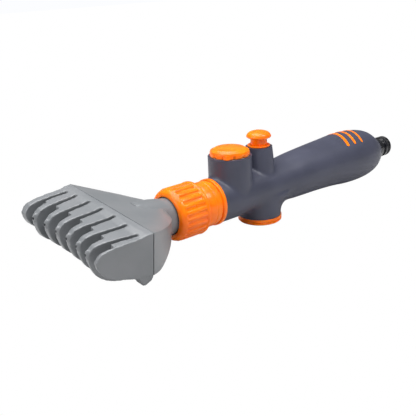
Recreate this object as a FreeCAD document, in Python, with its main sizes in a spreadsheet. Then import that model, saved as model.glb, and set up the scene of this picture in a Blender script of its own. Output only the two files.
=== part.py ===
"""Parametric model of a hose-fed coat-combing bath wand.

Millimetres. The wand's axis is X: the comb head points along -X and the hose inlet
along +X. Z is up, through the soap turret and the button. The sub-parts are drawn
about a datum where the valve's axis crosses the wand's axis, and their placements
then put the origin at the centre of the hose inlet's end face.
"""
import FreeCAD
import Part
import math
import os
import re

import Sketcher
from FreeCAD import Placement, Rotation, Vector

SIZES = {
    # whole wand
    "reach": 157.0,            # valve axis to the inlet's end face
    "head_clock": 6.2,         # turn of the head about X, degrees
    "slip": 0.3,               # gap between pieces that move past each other
    "run": 0.06,               # radial gap of a running fit
    # handle: soft skin over a rigid core
    "skin": 1.8,
    "wall": 2.4,
    "grip_front": -47.9,
    "turret_x": -29.2,
    "turret_rad": 15.7,
    "turret_top": 30.0,
    "tower_rad": 9.4,          # small turret, at its top
    "tower_foot": 12.2,        # small turret, at its foot
    "tower_foot_z": 8.0,
    "tower_top": 31.0,
    "bulge_rad": 15.9,
    "bulge_low": -21.6,
    "tail_plug": 132.0,        # where the core turns solid round the inlet
    # waterway
    "pipe_rad": 6.0,
    "pipe_bore": 4.8,
    "port_rad": 2.2,
    "barrel_rad": 8.8,
    "barrel_neck": 7.7,
    "barrel_bore": 6.25,
    "barrel_flange": 11.0,
    "boss_rad": 8.0,
    "boss_reach": 15.0,
    "pipe_seat": 9.5,
    # button and spool
    "stem_rad": 6.1,
    "stem_low": 12.5,
    "cap_rim": 9.1,
    "cap_low": 37.6,
    "cap_top": 42.7,
    "bush_rad": 8.3,
    "bush_top": 32.2,
    "spool_low": -8.3,
    "spring_rad": 4.2,
    "spring_wire": 0.8,
    # service cap under the valve
    "plug_rad": 16.45,
    "plug_low": -25.8,
    "plug_top": -21.7,
    "plug_thread": 10.2,
    "plug_seat": -12.5,
    "plug_bore": 5.4,
    "plug_floor": -19.5,
    # soap reservoir
    "cup_rad": 11.5,
    "cup_bore": 10.0,
    "cup_low": 9.0,
    "lid_rad": 14.2,
    "lid_flat": 11.0,
    "lid_top": 36.1,
    "lid_low": 30.4,
    "lid_thread": 9.6,
    "lid_scallops": 12.0,
    "lobe_rad": 3.0,
    "lobe_reach": 15.6,
    "lobe_turn": 219.0,
    # adapter and union nut
    "flange_rad": 16.8,
    "flange_wide": 2.4,
    "adapter_rad": 16.1,
    "adapter_step": -62.9,
    "adapter_mouth": -80.0,
    "adapter_bore": 8.0,
    "thread_rad": 15.0,
    "thread_pitch": 3.0,
    "thread_deep": 0.9,
    "spigot_rad": 12.0,
    "spigot_end": -41.5,
    "nut_back": -64.3,
    "nut_front": -88.3,
    "nut_bead": 18.9,
    "nut_grip": 18.6,
    "nut_bore": 15.4,
    "nut_mouth": 13.5,
    "nut_lip": 4.0,
    "flutes": 24.0,
    "flute_rad": 1.1,
    # head: neck and manifold
    "neck_rad": 12.8,
    "neck_end": -82.1,
    "neck_bore": 9.0,
    "ring_groove": 11.5,
    "ring_rad": 15.1,
    "ring_back": -82.9,
    "ring_wide": 1.2,
    "bump_rad": 15.3,
    "bump_end": -113.0,
    "seam": -133.3,
    "head_wall": 2.6,
    # head: comb
    "comb_half": 45.9,
    "comb_nose_half": 43.2,
    "comb_back": 254.0,        # fan radius past the seam
    "comb_spread": 13.2,       # half the fan's whole spread, degrees
    "plate_start": 9.9,        # where the shallower end plates start, degrees
    "comb_nose": -170.8,
    "fan_x": -377.5,           # point the teeth fan out from
    "fan_pitch": 3.3,          # degrees between teeth
    "gap_root": 240.5,         # fan radius of the slots' rear ends
    "gap_step": 223.0,         # fan radius of the steps
    "gap_mouth": 195.0,
    "jet_z": 10.4,
    "jet_rad": 0.9,
    "jet_nose": 211.0,         # fan radius of the jets' mouths
    "lip_wide": 7.0,
    # inlet
    "inlet_rad": 8.6,
    "inlet_bore": 5.5,
}

# Handle sections: distance from the valve axis, radius, height of the centre.
GRIP = [
    (-12.0, 16.2, 0.0),
    (4.0, 16.2, 0.0),
    (20.0, 16.7, 0.1),
    (36.0, 17.8, 0.8),
    (55.0, 18.7, 1.5),
    (75.0, 19.8, 1.8),
    (95.0, 21.3, 1.5),
    (112.0, 20.9, 1.1),
    (124.0, 18.9, 0.7),
    (131.5, 15.7, 0.0),
    (137.0, 12.3, -0.3),
    (139.6, 9.6, 0.0),
]
for count, (along, radius, height) in enumerate(GRIP):
    SIZES[f"grip{count}_along"] = along
    SIZES[f"grip{count}_rad"] = radius
    SIZES[f"grip{count}_high"] = height

# Grip stripes: name, distance from the valve axis, width.
STRIPES = [("front", 89.1, 2.9), ("middle", 97.8, 2.5), ("rear", 106.9, 2.2)]
LEAST_CUT = 0.5                # mm3 that every pocket and groove takes away
STRIPE_DEPTH = 1.0
STRIPE_REACH = 40.0            # radius of the tool that cuts a stripe
STRIPE_SPREAD = 48.0           # degrees to each side of the top
STRIPE_SLANT = 12.4            # degrees about Z

os.makedirs("parts", exist_ok=True)
doc = FreeCAD.newDocument("bath_wand")
sheet = doc.addObject("Spreadsheet::Sheet", "Sheet")
for row, (alias, size) in enumerate(SIZES.items(), start=1):
    sheet.set(f"A{row}", alias)
    sheet.set(f"B{row}", str(size))
    sheet.setAlias(f"B{row}", alias)
doc.recompute()


def linked(formula):
    """Return the formula with each alias pointed at the sheet."""
    return re.sub(r"[a-z]\w*",
                  lambda word: ("Sheet." if word.group() in SIZES else "") + word.group(),
                  str(formula))


def value(formula):
    """Return the formula's number."""
    found = sheet.evalExpression(linked(formula))
    return float(getattr(found, "Value", found))


def bind(item, **formulas):
    """Drive an object's properties from the sheet."""
    for prop, formula in formulas.items():
        item.setExpression(prop.replace("__", "."), linked(formula))


HANDLE = Placement(Vector(-value("reach"), 0, 0), Rotation())
HEAD = HANDLE.multiply(Placement(Vector(), Rotation(Vector(1, 0, 0), value("head_clock"))))
subparts = []


def keep(item, label, home):
    """Name a finished sub-part and put it in its place on the wand."""
    item.Label = label
    item.Placement = home
    subparts.append(item)
    return item


def make(kind, name, **formulas):
    """Add a Part object whose sizes follow the sheet."""
    item = doc.addObject(kind, name)
    bind(item, **formulas)
    return item


def joined(name, *items):
    """Fuse several objects into one."""
    item = doc.addObject("Part::MultiFuse", name)
    item.Shapes = list(items)
    return item


def cut(name, base, tool):
    """Cut one object with another."""
    item = doc.addObject("Part::Cut", name)
    item.Base = base
    item.Tool = tool
    return item


def grouped(name, *items):
    """Keep several objects as separate solids of one sub-part."""
    item = doc.addObject("Part::Compound", name)
    item.Links = list(items)
    return item


def shared(name, first, second):
    """Keep what two objects have in common."""
    item = doc.addObject("Part::MultiCommon", name)
    item.Shapes = [first, second]
    return item


def plane_of(body, role):
    """Return one of the body's own origin planes."""
    return next(item for item in body.Origin.OriginFeatures if item.Role == role)


def draw(body, name, role, points, offset=None):
    """Draw a closed polygon on a body's plane, each corner bound to the sheet."""
    sketch = body.newObject("Sketcher::SketchObject", name)
    sketch.AttachmentSupport = [(plane_of(body, role), "")]
    sketch.MapMode = "FlatFace"
    if offset:
        sketch.AttachmentOffset = offset
    corners = [Vector(value(across), value(up), 0) for across, up in points]
    for start, end in zip(corners, corners[1:] + corners[:1]):
        sketch.addGeometry(Part.LineSegment(start, end))
    total = len(points)
    for number, (across, up) in enumerate(points):
        sketch.addConstraint(
            Sketcher.Constraint("Coincident", number, 2, (number + 1) % total, 1))
        for axis, formula in (("DistanceX", across), ("DistanceY", up)):
            index = sketch.addConstraint(
                Sketcher.Constraint(axis, -1, 1, number, 1, value(formula)))
            sketch.setExpression(f"Constraints[{index}]", linked(formula))
    return sketch


def turned(name, axis, outline):
    """Turn an outline of (distance along the axis, radius) about X or Z."""
    body = doc.addObject("PartDesign::Body", name)
    if axis == "X":
        points = outline
    else:
        points = [(radius, along) for along, radius in outline]
    sketch = draw(body, name + "_outline", "XZ_Plane", points)
    turn = body.newObject("PartDesign::Revolution", name + "_turn")
    turn.Profile = sketch
    turn.ReferenceAxis = (sketch, ["H_Axis" if axis == "X" else "V_Axis"])
    turn.Angle = 360
    sketch.Visibility = False
    return body


def ring(name, axis, along, radius, wire):
    """Make a round-section ring about X or Z."""
    item = make("Part::Torus", name, Radius1=radius, Radius2=wire)
    if axis == "X":
        item.Placement = Placement(Vector(value(along), 0, 0), Rotation(Vector(0, 1, 0), 90))
        bind(item, Placement__Base__x=along)
    else:
        bind(item, Placement__Base__z=along)
    return item


def rod(name, axis, low, high, radius, across="0"):
    """Make a cylinder along X or Z, between two distances along its axis."""
    item = make("Part::Cylinder", name, Radius=radius, Height=f"({high}) - ({low})")
    if axis == "X":
        item.Placement = Placement(Vector(value(low), 0, 0), Rotation(Vector(0, 1, 0), 90))
        bind(item, Placement__Base__x=low)
    else:
        bind(item, Placement__Base__x=across, Placement__Base__z=low)
    return item


def tube(name, axis, low, high, outer, inner):
    """Make a plain tube along X or Z."""
    return turned(name, axis, [(low, inner), (high, inner), (high, outer), (low, outer)])


def barrel_shape(name, inset, last, overrun):
    """Return the handle's round form, drawn in by the inset: a straight front and a loft."""
    sections = []
    for count in range(last + 1):
        circle = make("Part::Circle", f"{name}_circle{count}", Radius=f"grip{count}_rad - {inset}")
        circle.Placement = Placement(Vector(), Rotation(Vector(0, 1, 0), 90))
        bind(circle, Placement__Base__x=f"grip{count}_along", Placement__Base__z=f"grip{count}_high")
        sections.append(circle)
    loft = doc.addObject("Part::Loft", name + "_loft")
    loft.Sections = sections
    loft.Solid = True
    front = rod(name + "_front", "X", f"grip_front - {overrun}", "grip0_along",
                f"grip0_rad - {inset}")
    return joined(name, front, loft)


def envelope(name, inset, overrun):
    """Return the whole handle's outer form, drawn in by the inset.

    A form that cuts is longer at each open end by the overrun.
    """
    grip = barrel_shape(name + "_grip", inset, len(GRIP) - 1, overrun)
    last = len(GRIP) - 1
    bind(doc.getObject(f"{name}_grip_circle{last}"),
         Placement__Base__x=f"grip{last}_along - {inset} * 0.9")
    turret = rod(name + "_turret", "Z", "0", f"turret_top + {overrun}",
                 f"turret_rad - {inset}", "turret_x")
    tower = make("Part::Cone", name + "_tower", Radius1=f"tower_foot - {inset}",
                 Radius2=f"tower_rad - {inset} + 0.2 * skin",
                 Height=f"tower_top - tower_foot_z + {overrun}",
                 Placement__Base__z="tower_foot_z")
    bulge = rod(name + "_bulge", "Z", f"bulge_low - {overrun}", "0", f"bulge_rad - {inset}")
    return joined(name, grip, turret, tower, bulge)


def make_handle():
    """Soft skin, two core halves and the inlaid grip stripes."""
    outer = envelope("skin_form", "0", "0")
    inner = envelope("skin_hollow", "skin", "1")
    inlet_way = rod("skin_inlet_way", "X", "tail_plug", "reach", "inlet_rad")
    hollow = joined("skin_cut", inner, inlet_way)
    whole = cut("skin_whole", outer, hollow)
    stripes = []
    for name, along, width in STRIPES:
        stripes.append(stripe_form(name, along, width, whole))
    skin = cut("skin", whole, joined("stripe_seats", *[seat for seat, _ in stripes]))
    keep(skin, "grip_skin", HANDLE)
    for (_, inlay), (name, _, _) in zip(stripes, STRIPES):
        keep(inlay, f"grip_stripe_{name}", HANDLE)

    form = joined("core_form", barrel_shape("core_grip", "skin", len(GRIP) - 1, "0"),
                  rod("core_turret", "Z", "0", "turret_top", "turret_rad - skin", "turret_x"))
    last = len(GRIP) - 1
    bind(doc.getObject(f"core_grip_circle{last}"),
         Placement__Base__x=f"grip{last}_along - skin * 0.9")
    cavity = barrel_shape("core_cavity", "skin - wall", len(GRIP) - 3, "1")
    bind(doc.getObject(f"core_cavity_circle{len(GRIP) - 3}"),
         Placement__Base__x="tail_plug")
    cup_way = rod("core_cup_way", "Z", "0", "turret_top + 1", "cup_rad", "turret_x")
    valve_way = rod("core_valve_way", "Z", "bulge_low", "tower_top", "barrel_rad")
    flange_way = rod("core_flange_way", "Z", "bulge_low", "-barrel_flange", "bulge_rad - skin")
    nose_way = rod("core_nose_way", "X", "tail_plug - 1", "reach", "inlet_rad")
    core = cut("core", form,
               joined("core_cut", cavity, cup_way, valve_way, flange_way, nose_way))
    ribs = []
    for count, station in enumerate((30, 62, 94)):
        slab = rod(f"rib{count}_slab", "X", str(station), str(station + 2), "30")
        web = shared(f"rib{count}_web", slab, cavity)
        ribs.append(cut(f"rib{count}", web, rod(f"rib{count}_way", "X", str(station - 1),
                                               str(station + 3), "pipe_rad")))
    ribbed = joined("core_ribbed", core, *ribs)
    for side, low in (("left", "0"), ("right", "-60")):
        half = make("Part::Box", f"{side}_space", Length=300, Width=60, Height=120)
        half.Placement = Placement(Vector(-100, value(low), -60), Rotation())
        keep(shared(f"core_{side}_form", ribbed, half), f"core_{side}", HANDLE)


def stripe_form(name, along, width, skin):
    """Cut one stripe's seat, and the inlay that fills it, from the skin's outside."""
    middle = barrel_shape(f"stripe_{name}_under", str(STRIPE_DEPTH), len(GRIP) - 1, "0")
    slab = rod(f"stripe_{name}_slab", "X", str(along), str(along + width), str(STRIPE_REACH))
    slab.Angle = 2 * STRIPE_SPREAD
    slant = Placement(Vector(along, 0, 0), Rotation(Vector(0, 0, 1), -STRIPE_SLANT))
    upright = Rotation(Vector(0, 1, 0), 90).multiply(
        Rotation(Vector(0, 0, 1), 180 - STRIPE_SPREAD))
    slab.Placement = slant.multiply(Placement(Vector(), upright))
    band = cut(f"stripe_{name}_band", slab, middle)
    return band, shared(f"stripe_{name}_inlay", band, skin)


def make_waterway():
    """Valve barrel with its side bosses, and the two inner pipes."""
    column = turned("barrel_column", "Z", [
        ("bulge_low", "plug_thread + slip"),
        ("bulge_low", "bulge_rad - skin"),
        ("-barrel_flange", "bulge_rad - skin"),
        ("-barrel_flange", "barrel_rad"),
        ("tower_foot_z + 5", "barrel_rad"),
        ("tower_foot_z + 5", "barrel_neck"),
        ("tower_top", "barrel_neck"),
        ("tower_top", "stem_rad + 0.9"),
        ("stem_low + 8", "stem_rad + 0.9"),
        ("stem_low + 8", "barrel_bore"),
        ("plug_seat", "barrel_bore"),
        ("plug_seat", "plug_thread + slip"),
    ])
    boss = rod("barrel_boss", "X", "-boss_reach", "boss_reach", "boss_rad")
    ways = joined(
        "barrel_ways",
        rod("barrel_front_seat", "X", "-boss_reach - 1", "-pipe_seat", "pipe_rad"),
        rod("barrel_rear_seat", "X", "pipe_seat", "boss_reach + 1", "pipe_rad"),
        rod("barrel_port", "X", "-pipe_seat - 1", "pipe_seat + 1", "port_rad"),
        rod("barrel_spool_way", "Z", "plug_seat", "stem_low", "barrel_bore"))
    keep(cut("barrel_cut", joined("barrel_blank", column, boss), ways), "valve_barrel", HANDLE)
    front = tube("front_tube", "X", "spigot_end - 14", "-pipe_seat", "pipe_rad", "pipe_bore")
    drip = rod("front_drip", "Z", "0", "pipe_rad + 1", "1.1", "turret_x")
    keep(cut("front_cut", front, drip), "front_pipe", HANDLE)
    keep(tube("rear_tube", "X", "pipe_seat", "tail_plug", "pipe_rad", "pipe_bore"),
         "rear_pipe", HANDLE)


def make_valve():
    """Button, spool, rings, spring and the guide bush on the small turret."""
    keep(turned("button_body", "Z", [
        ("stem_low", "0"),
        ("stem_low", "stem_rad"),
        ("cap_low", "stem_rad"),
        ("cap_low", "cap_rim - 0.7"),
        ("cap_low + 0.6", "cap_rim"),
        ("cap_low + 1.8", "cap_rim"),
        ("cap_top - 1.4", "cap_rim - 2"),
        ("cap_top - 0.4", "cap_rim - 5"),
        ("cap_top", "0"),
    ]), "button", HANDLE)
    keep(turned("bush_body", "Z", [
        ("stem_low + 8.2", "stem_rad + run"),
        ("stem_low + 8.2", "stem_rad + 0.9"),
        ("tower_top + 0.05", "stem_rad + 0.9"),
        ("tower_top + 0.05", "bush_rad"),
        ("bush_top - 0.3", "bush_rad"),
        ("bush_top", "bush_rad - 0.5"),
        ("bush_top", "stem_rad + run"),
    ]), "button_bush", HANDLE)
    keep(turned("spool_body", "Z", [
        ("spool_low", "0"),
        ("spool_low", "barrel_bore - run"),
        ("-6.6", "barrel_bore - run"),
        ("-6.6", "4.7"),
        ("-4.8", "4.7"),
        ("-4.8", "barrel_bore - run"),
        ("port_rad + 0.5", "barrel_bore - run"),
        ("port_rad + 0.5", "3.2"),
        ("8", "3.2"),
        ("8", "barrel_bore - run"),
        ("9.2", "barrel_bore - run"),
        ("9.2", "4.7"),
        ("11", "4.7"),
        ("11", "barrel_bore - run"),
        ("stem_low", "barrel_bore - run"),
        ("stem_low", "0"),
    ]), "valve_spool", HANDLE)
    keep(grouped("spool_ring_pair", ring("spool_ring_low", "Z", "-5.7", "5.5", "0.72"),
                 ring("spool_ring_high", "Z", "10.1", "5.5", "0.72")), "spool_rings", HANDLE)
    spring = doc.addObject("Part::Feature", "spring_coil")
    spring.Shape = coil(value("spring_rad"), value("spring_wire") / 2,
                        value("plug_floor"), value("spool_low"), 4)
    keep(spring, "valve_spring", HANDLE)
    keep(turned("plug_body", "Z", [
        ("plug_low", "0"),
        ("plug_low", "plug_rad - 0.6"),
        ("plug_low + 0.6", "plug_rad"),
        ("plug_low + 1.8", "plug_rad"),
        ("plug_low + 1.8", "plug_rad - 0.6"),
        ("plug_low + 2.2", "plug_rad - 0.6"),
        ("plug_low + 2.2", "plug_rad"),
        ("plug_top", "plug_rad"),
        ("plug_top", "plug_thread"),
        ("plug_seat - 0.6", "plug_thread"),
        ("plug_seat - 0.6", "plug_bore"),
        ("plug_floor", "plug_bore"),
        ("plug_floor", "0"),
    ]), "valve_cap", HANDLE)
    keep(tube("plug_washer", "Z", "plug_seat - 0.55", "plug_seat - 0.05",
              "plug_thread - 0.3", "barrel_bore + 0.5"), "valve_cap_seal", HANDLE)


def coil(radius, wire, low, high, turns):
    """Wind a spring between two heights, with the wire's ends inside them."""
    length = high - low - 2 * wire - 0.1
    path = Part.makeHelix(length / turns, length, radius)
    path.translate(Vector(0, 0, low + wire + 0.05))
    start = path.Edges[0].firstVertex().Point
    section = Part.Wire(Part.makeCircle(wire, start, Vector(0, 1, 0)))
    return Part.Wire(path.Edges).makePipeShell([section], True, False)


def make_soap():
    """Soap cup in the big turret, its lid, the lid's gasket and the metering jet."""
    cup = turned("cup_body", "Z", [
        ("cup_low", "0"),
        ("cup_low", "cup_rad"),
        ("turret_top", "cup_rad"),
        ("turret_top", "cup_bore"),
        ("cup_low + 1.5", "cup_bore"),
        ("cup_low + 1.5", "0"),
    ])
    over = HANDLE.multiply(Placement(Vector(value("turret_x"), 0, 0), Rotation()))
    drain = rod("cup_drain", "Z", "cup_low - 1", "cup_low + 3", "1.2")
    keep(cut("cup_cut", cup, drain), "soap_cup", over)
    jet = turned("jet_body", "Z", [
        ("pipe_rad - 0.8", "0.5"),
        ("pipe_rad - 0.8", "1.1"),
        ("cup_low + 1.5", "1.1"),
        ("cup_low + 1.5", "0.5"),
    ])
    keep(jet, "soap_jet", over)
    keep(tube("lid_washer", "Z", "turret_top + 0.02", "lid_low - 0.02",
              "cup_rad + 1.6", "lid_thread + slip"), "soap_cap_gasket", over)
    lid = doc.addObject("PartDesign::Body", "lid_body")
    outline = draw(lid, "lid_outline", "XZ_Plane", [
        ("0", "turret_top - 5"),
        ("lid_thread", "turret_top - 5"),
        ("lid_thread", "lid_low"),
        ("lid_rad", "lid_low"),
        ("lid_rad", "lid_low + 3"),
        ("lid_flat + 1.9", "lid_top - 0.7"),
        ("lid_flat", "lid_top"),
        ("0", "lid_top"),
    ])
    turn = lid.newObject("PartDesign::Revolution", "lid_turn")
    turn.Profile = outline
    turn.ReferenceAxis = (outline, ["V_Axis"])
    bite = lid.newObject("Sketcher::SketchObject", "lid_bite")
    bite.AttachmentSupport = [(plane_of(lid, "XY_Plane"), "")]
    bite.MapMode = "FlatFace"
    bite.addGeometry(Part.Circle(Vector(value("lid_rad") + 1.4, 0, 0), Vector(0, 0, 1), 2.2))
    index = bite.addConstraint(Sketcher.Constraint("DistanceX", -1, 1, 0, 3, value("lid_rad") + 1.4))
    bite.setExpression(f"Constraints[{index}]", "Sheet.lid_rad + 1.4")
    bite.addConstraint(Sketcher.Constraint("PointOnObject", 0, 3, -1))
    bite.addConstraint(Sketcher.Constraint("Radius", 0, 2.2))
    scallop = lid.newObject("PartDesign::Pocket", "lid_scallop")
    scallop.Profile = bite
    scallop.Type = "ThroughAll"
    scallop.Reversed = True
    scallops = lid.newObject("PartDesign::PolarPattern", "lid_scallops")
    scallops.Originals = [scallop]
    scallops.Axis = (bite, ["N_Axis"])
    scallops.Angle = 360
    scallops.Occurrences = int(value("lid_scallops"))
    lid.Tip = scallops
    lobe = rod("lid_lobe", "Z", "lid_low", "lid_low + 1.6", "lobe_rad")
    out = value("lobe_reach") - value("lobe_rad")
    turned_by = math.radians(value("lobe_turn"))
    lobe.Placement.Base = Vector(out * math.cos(turned_by), out * math.sin(turned_by),
                                 value("lid_low"))
    lobe.setExpression("Placement.Base.x", "(Sheet.lobe_reach - Sheet.lobe_rad) * cos(Sheet.lobe_turn)")
    lobe.setExpression("Placement.Base.y", "(Sheet.lobe_reach - Sheet.lobe_rad) * sin(Sheet.lobe_turn)")
    keep(joined("lid_joined", lid, lobe), "soap_cap", over)


def make_coupling():
    """Threaded adapter, its washer, the union nut and the ring that holds the neck."""
    crests = []
    start = value("adapter_mouth") + 1.5
    count = int((value("adapter_step") - 1.5 - start) / value("thread_pitch"))
    for turn in reversed(range(count + 1)):
        at = f"adapter_mouth + 1.5 + {turn} * thread_pitch"
        crests += [(f"{at} + 0.9", "thread_rad"), (f"{at} + 0.2", "thread_rad - thread_deep"),
                   (f"{at} - 0.2", "thread_rad - thread_deep"), (f"{at} - 0.9", "thread_rad")]
    keep(turned("adapter_body", "X", [
        ("spigot_end", "pipe_rad"),
        ("spigot_end", "spigot_rad"),
        ("grip_front", "spigot_rad"),
        ("grip_front", "flange_rad"),
        ("grip_front - flange_wide", "flange_rad"),
        ("grip_front - flange_wide", "adapter_rad - 0.6"),
        ("grip_front - flange_wide - 1", "adapter_rad - 0.6"),
        ("grip_front - flange_wide - 1", "adapter_rad"),
        ("adapter_step", "adapter_rad"),
        ("adapter_step", "thread_rad"),
        *crests,
        ("adapter_mouth", "thread_rad - 0.5"),
        ("adapter_mouth", "adapter_bore"),
        ("spigot_end - 14", "adapter_bore"),
        ("spigot_end - 14", "pipe_rad"),
    ]), "threaded_adapter", HANDLE)
    keep(tube("washer_body", "X", "neck_end + 0.1", "adapter_mouth", "thread_rad - 1.5",
              "adapter_bore + 0.2"), "coupling_washer", HANDLE)
    nut = turned("nut_body", "X", [
        ("nut_back", "nut_bore"),
        ("nut_back", "nut_bead - 0.6"),
        ("nut_back - 0.6", "nut_bead"),
        ("nut_back - 2.2", "nut_bead"),
        ("nut_back - 2.8", "nut_grip"),
        ("nut_front + 6", "nut_grip"),
        ("nut_front + 5.4", "nut_grip - 0.5"),
        ("nut_front + 2", "nut_grip - 1.2"),
        ("nut_front + 0.6", "nut_grip - 2.2"),
        ("nut_front", "nut_grip - 3.4"),
        ("nut_front", "nut_mouth"),
        ("nut_front + nut_lip", "nut_mouth"),
        ("nut_front + nut_lip", "nut_bore"),
    ])
    groove = nut.newObject("Sketcher::SketchObject", "flute_section")
    groove.AttachmentSupport = [(plane_of(nut, "YZ_Plane"), "")]
    groove.MapMode = "FlatFace"
    groove.AttachmentOffset = Placement(Vector(0, 0, value("nut_front + 6.4")), Rotation())
    groove.setExpression("AttachmentOffset.Base.z", linked("nut_front + 6.4"))
    groove.addGeometry(Part.Circle(Vector(value("nut_grip + 0.4"), 0, 0), Vector(0, 0, 1),
                                   value("flute_rad")))
    index = groove.addConstraint(
        Sketcher.Constraint("DistanceX", -1, 1, 0, 3, value("nut_grip + 0.4")))
    groove.setExpression(f"Constraints[{index}]", linked("nut_grip + 0.4"))
    groove.addConstraint(Sketcher.Constraint("PointOnObject", 0, 3, -1))
    index = groove.addConstraint(Sketcher.Constraint("Radius", 0, value("flute_rad")))
    groove.setExpression(f"Constraints[{index}]", linked("flute_rad"))
    flute = nut.newObject("PartDesign::Pocket", "flute")
    flute.Profile = groove
    flute.Type = "Length"
    flute.Reversed = True
    flute.Length = value("nut_back - nut_front - 10")
    flute.setExpression("Length", linked("nut_back - nut_front - 10"))
    flutes = nut.newObject("PartDesign::PolarPattern", "flutes")
    flutes.Originals = [flute]
    flutes.Axis = (groove, ["N_Axis"])
    flutes.Angle = 360
    flutes.Occurrences = int(value("flutes"))
    nut.Tip = flutes
    keep(nut, "union_nut", HANDLE)
    clip = tube("clip_body", "X", "ring_back - ring_wide", "ring_back", "ring_rad",
                "ring_groove + slip / 2")
    keep(clip, "neck_ring", HANDLE)


def section(along, half, edge, crown, side, low):
    """Return a closed section: cambered top, straight sides, round underside."""
    near, far = Vector(along, -half, edge), Vector(along, half, edge)
    near_foot, far_foot = Vector(along, -half, side), Vector(along, half, side)
    edges = [
        Part.LineSegment(far_foot, far).toShape(),
        Part.Arc(far, Vector(along, 0, crown), near).toShape(),
        Part.LineSegment(near, near_foot).toShape(),
        Part.Arc(near_foot, Vector(along, 0, low), far_foot).toShape(),
    ]
    return Part.Wire(edges)


# Manifold sections from the seam to the neck: x, half width, deck's edge, deck's middle,
# foot of the sides, belly.
BOWL = [
    (-133.3, 45.9, 19.4, 19.8, -8.2, -10.5),
    (-124.0, 40.8, 16.3, 17.5, -9.5, -14.5),
    (-114.0, 33.8, 13.3, 15.4, -7.5, -16.4),
    (-106.5, 27.6, 11.3, 13.9, -4.5, -16.6),
    (-101.0, 21.6, 9.6, 12.9, -2.5, -15.6),
    (-98.0, 16.5, 8.6, 12.2, -1.5, -14.0),
]


def make_manifold():
    """Hollow fan-shaped body that joins the neck to the comb."""
    thick = value("head_wall")
    outer = Part.makeLoft([section(*station) for station in BOWL], True, True)
    inner = Part.makeLoft(
        [section(along, half - thick, edge - thick, crown - thick, side + thick, low + thick)
         for along, half, edge, crown, side, low in BOWL], True, True)
    neck = turned("neck_body", "X", [
        ("neck_end", "0"),
        ("neck_end", "neck_rad"),
        ("ring_back + slip / 2", "neck_rad"),
        ("ring_back + slip / 2", "ring_groove"),
        ("ring_back - ring_wide - slip / 2", "ring_groove"),
        ("ring_back - ring_wide - slip / 2", "neck_rad"),
        ("nut_front - 2", "neck_rad"),
        ("-100", "bump_rad - 0.9"),
        ("bump_end", "bump_rad"),
        ("bump_end", "0"),
    ])
    doc.recompute()
    way = Part.makeCylinder(value("neck_bore"), value("neck_end") - value("bump_end") + 4,
                            Vector(value("bump_end") - 2, 0, 0), Vector(1, 0, 0))
    shape = outer.fuse(neck.Shape).cut(inner).cut(way).removeSplitter()
    manifold = doc.addObject("Part::Feature", "manifold")
    manifold.Shape = shape
    keep(manifold, "head_manifold", HEAD)
    along, half, edge, crown, side, low = BOWL[0]
    frame = [Part.Face(section(along, half - lip, edge - lip, crown - lip, side + lip, low + lip))
             for lip in (thick + 0.05, thick + 1.6)]
    gasket = doc.addObject("Part::Feature", "gasket")
    gasket.Shape = frame[0].cut(frame[1]).extrude(Vector(1.5, 0, 0)).cut(shape)
    keep(gasket, "head_gasket", HEAD)


def polar(angle, distance):
    """Return sheet formulas for a point in the fan's own frame."""
    return (f"({distance}) * cos({angle})", f"({distance}) * sin({angle})")


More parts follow.
